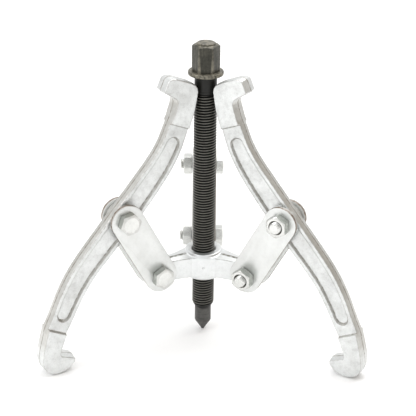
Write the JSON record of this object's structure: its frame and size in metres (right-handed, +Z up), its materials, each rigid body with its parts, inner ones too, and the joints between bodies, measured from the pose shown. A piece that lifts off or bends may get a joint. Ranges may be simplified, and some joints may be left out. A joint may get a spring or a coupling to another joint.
{
  "type": "gear puller",
  "caption": "Upright jaw puller: a forcing screw through a yoke, with hinged link plates carrying hooked reversible arms.",
  "frame": {"origin": "the flat on the forcing screw's point, on the surface that the jaws stand on", "axes": "+Z up along the forcing screw towards its hex; +Y towards the rear jaw; +X to the right, with the front jaws 30 degrees in front of -X and +X"},
  "size_m": [0.2328, 0.2019, 0.2226],
  "materials": {
    "forged_steel": "bright zinc plate over fine-grained forging",
    "zinc_steel": "bright zinc plate over pressed and cold-headed steel",
    "black_oxide": "black oxide, lightly oiled",
    "point_steel": "ground and blackened"
  },
  "bodies": {
    "hub": {"yoke": "forged_steel", "bolt_yoke_left": "zinc_steel", "nut_yoke_left": "zinc_steel", "bolt_yoke_right": "zinc_steel", "nut_yoke_right": "zinc_steel", "bolt_yoke_rear": "zinc_steel", "nut_yoke_rear": "zinc_steel"},
    "links_left": {"link_left_a": "zinc_steel", "link_left_b": "zinc_steel", "bolt_jaw_left": "zinc_steel", "nut_jaw_left": "zinc_steel"},
    "arm_left": {"jaw_left": "forged_steel"},
    "links_right": {"link_right_a": "zinc_steel", "link_right_b": "zinc_steel", "bolt_jaw_right": "zinc_steel", "nut_jaw_right": "zinc_steel"},
    "arm_right": {"jaw_right": "forged_steel"},
    "links_rear": {"link_rear_a": "zinc_steel", "link_rear_b": "zinc_steel", "bolt_jaw_rear": "zinc_steel", "nut_jaw_rear": "zinc_steel"},
    "arm_rear": {"jaw_rear": "forged_steel"},
    "point": {"centre_point": "point_steel"},
    "screw": {"forcing_screw": "black_oxide"}
  },
  "joints": [
    {"name": "link_swing_left", "type": "hinge", "parent": "hub", "child": "links_left", "pos_m": [-0.03386, -0.01955, 0.05871], "axis": [0.5, -0.866, 0], "range_deg": [0, 45]},
    {"name": "jaw_swing_left", "type": "hinge", "parent": "links_left", "child": "arm_left", "pos_m": [-0.05612, -0.0324, 0.107], "axis": [0.5, -0.866, 0], "range_deg": [0, 25]},
    {"name": "link_swing_right", "type": "hinge", "parent": "hub", "child": "links_right", "pos_m": [0.03386, -0.01955, 0.05871], "axis": [0.5, 0.866, 0], "range_deg": [0, 45]},
    {"name": "jaw_swing_right", "type": "hinge", "parent": "links_right", "child": "arm_right", "pos_m": [0.05612, -0.0324, 0.107], "axis": [0.5, 0.866, 0], "range_deg": [0, 25]},
    {"name": "link_swing_rear", "type": "hinge", "parent": "hub", "child": "links_rear", "pos_m": [0, 0.0391, 0.05871], "axis": [-1, 0, 0], "range_deg": [0, 45]},
    {"name": "jaw_swing_rear", "type": "hinge", "parent": "links_rear", "child": "arm_rear", "pos_m": [0, 0.0648, 0.107], "axis": [-1, 0, 0], "range_deg": [0, 25]},
    {"name": "screw_travel", "type": "slide", "parent": "hub", "child": "point", "axis": [0, 0, 1], "range_m": [-0.002, 0.024]},
    {"name": "screw_turn", "type": "hinge", "parent": "point", "child": "screw", "pos_m": [0, 0, 0.1], "axis": [0, 0, 1], "range_deg": [-360, 4320]}
  ],
  "couplings": [
    {"joint": "screw_turn", "follows": "screw_travel", "rad_per_m": 3141.6}
  ]
}
